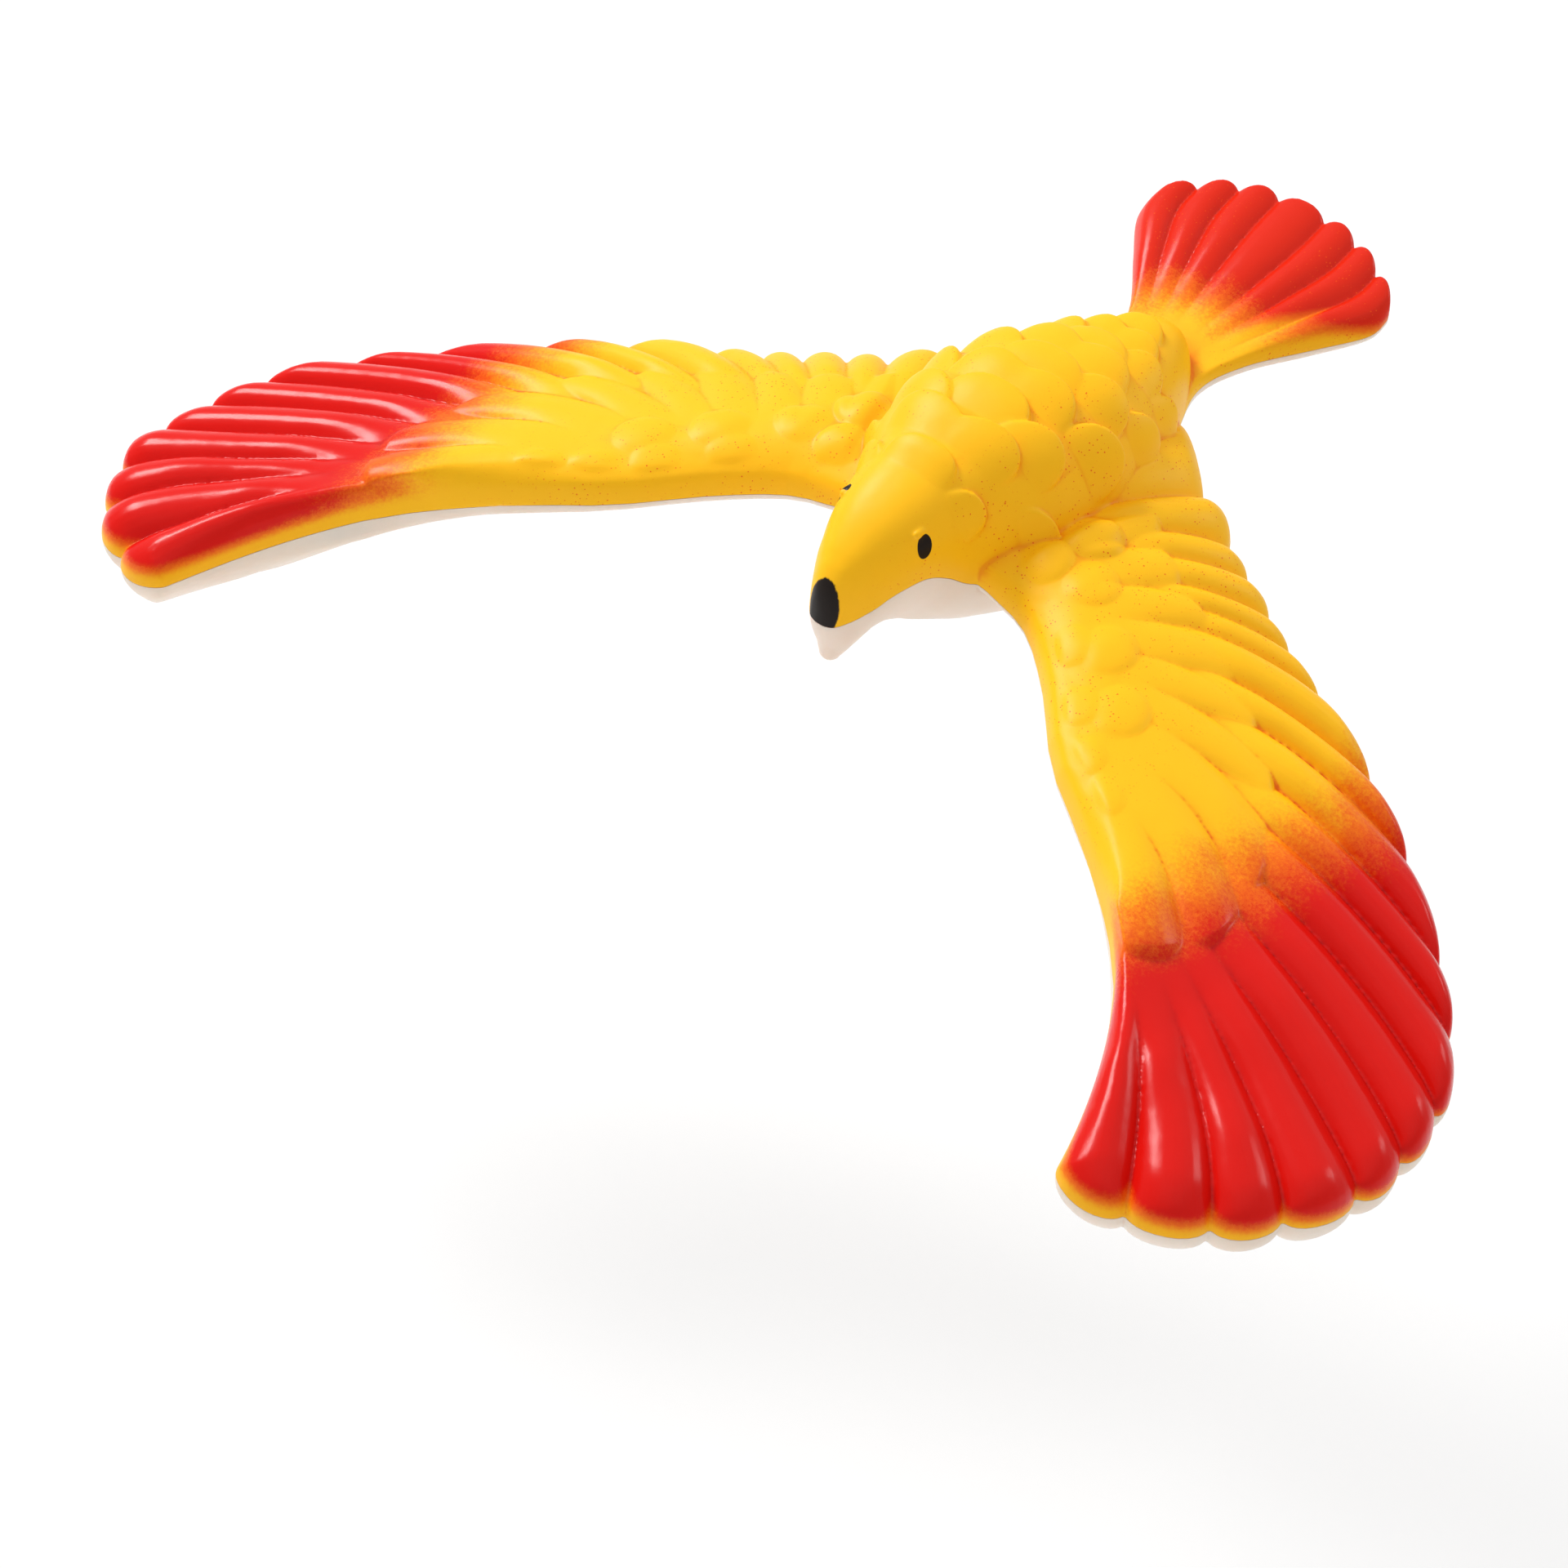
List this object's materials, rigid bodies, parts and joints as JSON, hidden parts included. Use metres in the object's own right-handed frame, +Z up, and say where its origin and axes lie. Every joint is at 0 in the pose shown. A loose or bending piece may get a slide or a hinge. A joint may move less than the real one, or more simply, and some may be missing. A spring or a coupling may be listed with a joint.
{
  "type": "balancing bird toy",
  "caption": "Toy bird with swept, drooping wings and fanned tail that balances on the tip of its beak, in two hollow shells with a slug in each wing tip.",
  "frame": {"origin": "the tip of the beak, the one point that the bird stands on", "axes": "+Z up with the bird in balance, nose towards -Y, +X towards the bird's left wing tip"},
  "size_m": [0.1732, 0.1223, 0.05],
  "materials": {
    "yellow_plastic": "glossy yellow, sprayed red over the outer feathers",
    "white_plastic": "milky white, glossy",
    "steel": "plain turned steel"
  },
  "bodies": {
    "root": {"upper_shell": "yellow_plastic", "lower_shell": "white_plastic", "left_weight": "steel", "right_weight": "steel"}
  },
  "joints": []
}
